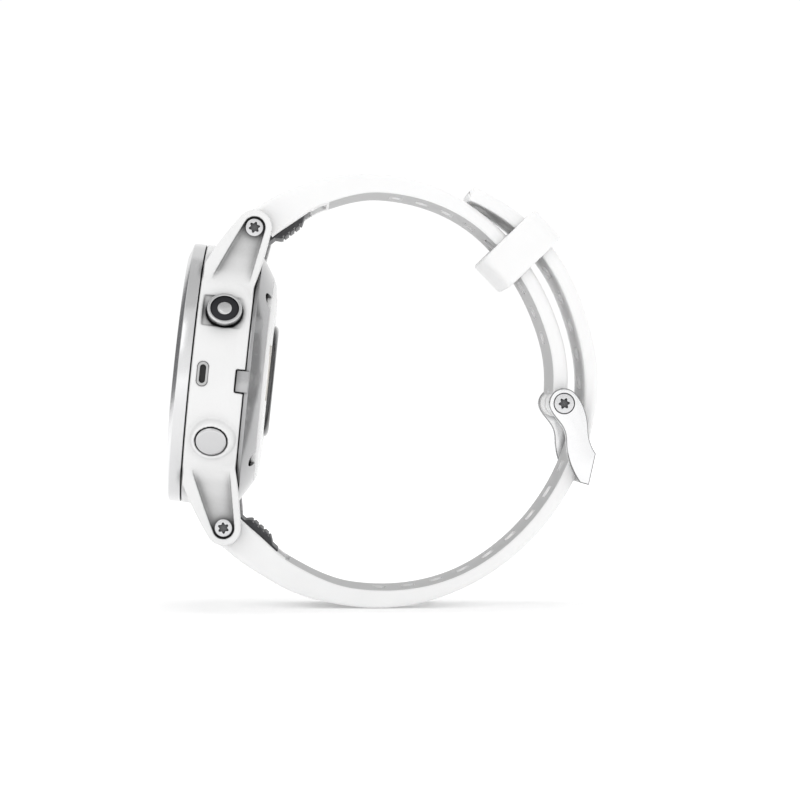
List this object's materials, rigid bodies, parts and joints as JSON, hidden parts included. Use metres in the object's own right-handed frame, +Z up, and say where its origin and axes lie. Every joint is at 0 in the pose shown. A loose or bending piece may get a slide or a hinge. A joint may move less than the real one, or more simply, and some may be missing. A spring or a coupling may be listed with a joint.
{
  "type": "gps running watch",
  "caption": "Round running watch with side push buttons on a fastened silicone band with quick-release ends, a sliding keeper and a pin buckle.",
  "frame": {"origin": "centre of the bottom of the object's box, where the fastened band stands on a table", "axes": "+Z up; +X from the display through the case to the buckle; +Y along the lug pins, away from the side with the two start and back buttons"},
  "size_m": [0.0696, 0.043, 0.0697],
  "materials": {
    "case_polymer": "satin white moulded polymer",
    "bezel_steel": "brushed stainless steel, chamfered",
    "cover_steel": "polished stainless steel",
    "back_polymer": "glossy white moulded polymer",
    "lens_glass": "clear chemically hardened glass",
    "sensor_glass": "dark infrared-passing glass",
    "display": "dark memory display",
    "inner_plastic": "black moulded plastic",
    "circuit_board": "green circuit board",
    "antenna_copper": "copper strip",
    "battery_wrap": "foil pouch",
    "motor_steel": "plain steel can",
    "seal_rubber": "black seal rubber",
    "contact_gold": "gold-plated contacts",
    "screw_steel": "stainless screw",
    "button_steel": "satin stainless steel",
    "dark_inlay": "black coated metal",
    "port_plastic": "grey moulded plastic",
    "band_silicone": "soft white silicone",
    "hook_plastic": "dark grey glass-filled plastic",
    "buckle_steel": "satin stainless steel, polished edges"
  },
  "bodies": {
    "case": {"case_middle": "case_polymer", "bezel": "bezel_steel", "display_lens": "lens_glass", "chapter_ring": "inner_plastic", "display_module": "display", "main_board": "circuit_board", "antenna_ring": "antenna_copper", "battery": "battery_wrap", "vibration_motor": "motor_steel", "rear_cover": "cover_steel", "back_gasket": "seal_rubber", "back_plate": "back_polymer", "sensor_window": "sensor_glass", "sensor_board": "circuit_board", "charge_contacts": "contact_gold", "pressure_port": "port_plastic", "lug_pin_upper": "screw_steel", "lug_pin_lower": "screw_steel", "upper_band": "band_silicone", "lower_band": "band_silicone", "rear_cover_screw_1": "screw_steel", "rear_cover_screw_2": "screw_steel", "rear_cover_screw_3": "screw_steel", "rear_cover_screw_4": "screw_steel", "lug_screw_upper_near": "screw_steel", "lug_screw_upper_far": "screw_steel", "lug_screw_lower_near": "screw_steel", "lug_screw_lower_far": "screw_steel", "start_button_seal": "seal_rubber", "start_button_switch": "inner_plastic", "back_button_seal": "seal_rubber", "back_button_switch": "inner_plastic", "light_button_seal": "seal_rubber", "light_button_switch": "inner_plastic", "up_button_seal": "seal_rubber", "up_button_switch": "inner_plastic", "down_button_seal": "seal_rubber", "down_button_switch": "inner_plastic"},
    "start_button": {"start_button": "button_steel", "start_button_inlay": "dark_inlay"},
    "back_button": {"back_button": "button_steel"},
    "light_button": {"light_button": "button_steel"},
    "up_button": {"up_button": "button_steel"},
    "down_button": {"down_button": "button_steel"},
    "upper_end": {"upper_end_hook": "hook_plastic"},
    "lower_end": {"lower_end_hook": "hook_plastic"},
    "upper_latch": {"upper_latch": "hook_plastic"},
    "lower_latch": {"lower_latch": "hook_plastic"},
    "keeper": {"keeper": "band_silicone"},
    "buckle": {"buckle_frame": "buckle_steel", "buckle_pin": "screw_steel", "buckle_screw_near": "screw_steel", "buckle_screw_far": "screw_steel"},
    "tang": {"buckle_tang": "buckle_steel"}
  },
  "joints": [
    {"name": "start_button_press", "type": "slide", "parent": "case", "child": "start_button", "axis": [-0.0498, 0.8746, -0.4822], "range_m": [0, 0.0007], "stiffness_N_per_m": 1200},
    {"name": "back_button_press", "type": "slide", "parent": "case", "child": "back_button", "axis": [0.0498, 0.8746, 0.4822], "range_m": [0, 0.0007], "stiffness_N_per_m": 1200},
    {"name": "light_button_press", "type": "slide", "parent": "case", "child": "light_button", "axis": [-0.0498, -0.8746, -0.4822], "range_m": [0, 0.0007], "stiffness_N_per_m": 1200},
    {"name": "up_button_press", "type": "slide", "parent": "case", "child": "up_button", "axis": [0, -1, 0], "range_m": [0, 0.0007], "stiffness_N_per_m": 1200},
    {"name": "down_button_press", "type": "slide", "parent": "case", "child": "down_button", "axis": [0.0498, -0.8746, 0.4822], "range_m": [0, 0.0007], "stiffness_N_per_m": 1200},
    {"name": "upper_band_swing", "type": "hinge", "parent": "case", "child": "upper_end", "pos_m": [-0.02016, -0.0005, 0.06078], "axis": [0, 1, 0], "range_deg": [-6, 6], "stiffness_Nm_per_rad": 0.02, "deforming": ["upper_band"]},
    {"name": "upper_latch_slide", "type": "slide", "parent": "upper_end", "child": "upper_latch", "axis": [0.7986, 0, 0.6018], "range_m": [0, 0.0018], "stiffness_N_per_m": 300},
    {"name": "lower_band_swing", "type": "hinge", "parent": "case", "child": "lower_end", "pos_m": [-0.0251, -0.0005, 0.01303], "axis": [0, 1, 0], "range_deg": [-6, 6], "stiffness_Nm_per_rad": 0.02, "deforming": ["lower_band"]},
    {"name": "lower_latch_slide", "type": "slide", "parent": "lower_end", "child": "lower_latch", "axis": [0.7431, 0, -0.6691], "range_m": [0, 0.0018], "stiffness_N_per_m": 300},
    {"name": "keeper_slide", "type": "hinge", "parent": "case", "child": "keeper", "pos_m": [-0.00002, -0.0005, 0.03604], "axis": [0, 1, 0], "range_deg": [-9, 15]},
    {"name": "buckle_lift", "type": "hinge", "parent": "case", "child": "buckle", "pos_m": [0.02914, -0.0005, 0.03281], "axis": [0, -1, 0], "range_deg": [0, 9]},
    {"name": "tang_lift", "type": "hinge", "parent": "case", "child": "tang", "pos_m": [0.02914, -0.0005, 0.03281], "axis": [0, -1, 0], "range_deg": [0, 9]}
  ],
  "couplings": [
    {"joint": "tang_lift", "follows": "buckle_lift", "ratio": 1}
  ]
}
